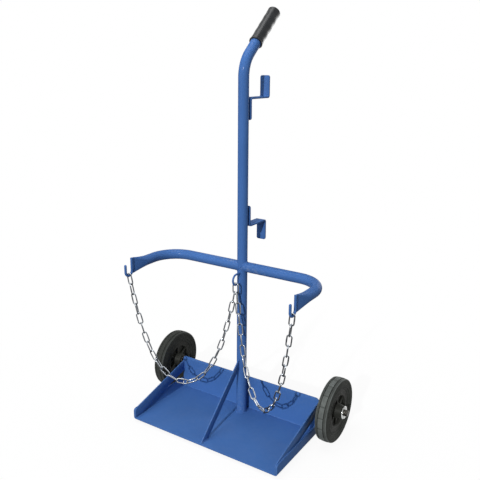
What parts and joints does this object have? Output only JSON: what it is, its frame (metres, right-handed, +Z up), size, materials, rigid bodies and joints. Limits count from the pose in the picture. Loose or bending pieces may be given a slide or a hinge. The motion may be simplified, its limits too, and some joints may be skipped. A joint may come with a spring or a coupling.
{
  "type": "gas cylinder cart",
  "caption": "Upright gas cylinder cart: folded tray, tubular mast with bent handle, cylinder arms with restraint chains, hose hooks and solid-tyred wheels.",
  "frame": {"origin": "middle of the cart's overall box, on the ground", "axes": "+Z up along the mast, +Y to the rear where the wheels and handle are, +X across the tray"},
  "size_m": [0.7136, 0.4078, 1.2868],
  "materials": {
    "blue_paint": "glossy blue powder coat",
    "grip_black": "satin black soft plastic",
    "tyre_black": "matte black solid rubber",
    "centre_black": "matte black moulded plastic",
    "bush_brown": "plain moulded bearing bush",
    "zinc_plate": "bright zinc plating"
  },
  "bodies": {
    "frame": {"tray": "blue_paint", "left_side_strap": "blue_paint", "right_side_strap": "blue_paint", "left_floor_pad": "blue_paint", "right_floor_pad": "blue_paint", "front_brace": "blue_paint", "mast_tube": "blue_paint", "mast_spacer": "blue_paint", "handle_grip": "grip_black", "left_cylinder_arm": "blue_paint", "right_cylinder_arm": "blue_paint", "left_chain_hook": "blue_paint", "right_chain_hook": "blue_paint", "mast_chain_eye": "blue_paint", "chain_centre_link": "zinc_plate", "upper_hose_hook": "blue_paint", "lower_hose_hook": "blue_paint", "axle": "zinc_plate", "left_inner_washer": "zinc_plate", "right_inner_washer": "zinc_plate", "left_outer_washer": "zinc_plate", "right_outer_washer": "zinc_plate", "left_split_pin": "zinc_plate", "right_split_pin": "zinc_plate"},
    "left_wheel": {"left_tyre": "tyre_black", "left_wheel_centre": "centre_black", "left_bush": "bush_brown"},
    "right_wheel": {"right_tyre": "tyre_black", "right_wheel_centre": "centre_black", "right_bush": "bush_brown"},
    "left_chain_body": {"left_chain": "zinc_plate"},
    "right_chain_body": {"right_chain": "zinc_plate"}
  },
  "joints": [
    {"name": "left_wheel_spin", "type": "hinge", "parent": "frame", "child": "left_wheel", "pos_m": [-0.311, 0.07039, 0.1], "axis": [1, 0, 0], "continuous": true},
    {"name": "right_wheel_spin", "type": "hinge", "parent": "frame", "child": "right_wheel", "pos_m": [0.311, 0.07039, 0.1], "axis": [1, 0, 0], "continuous": true},
    {"name": "left_chain_swing", "type": "hinge", "parent": "frame", "child": "left_chain_body", "pos_m": [-0.287, -0.17691, 0.49493], "axis": [0.8527, 0.499, -0.1545], "range_deg": [-2, 25]},
    {"name": "right_chain_swing", "type": "hinge", "parent": "frame", "child": "right_chain_body", "pos_m": [0.287, -0.17691, 0.49493], "axis": [0.8527, -0.499, 0.1545], "range_deg": [-2, 25]}
  ]
}
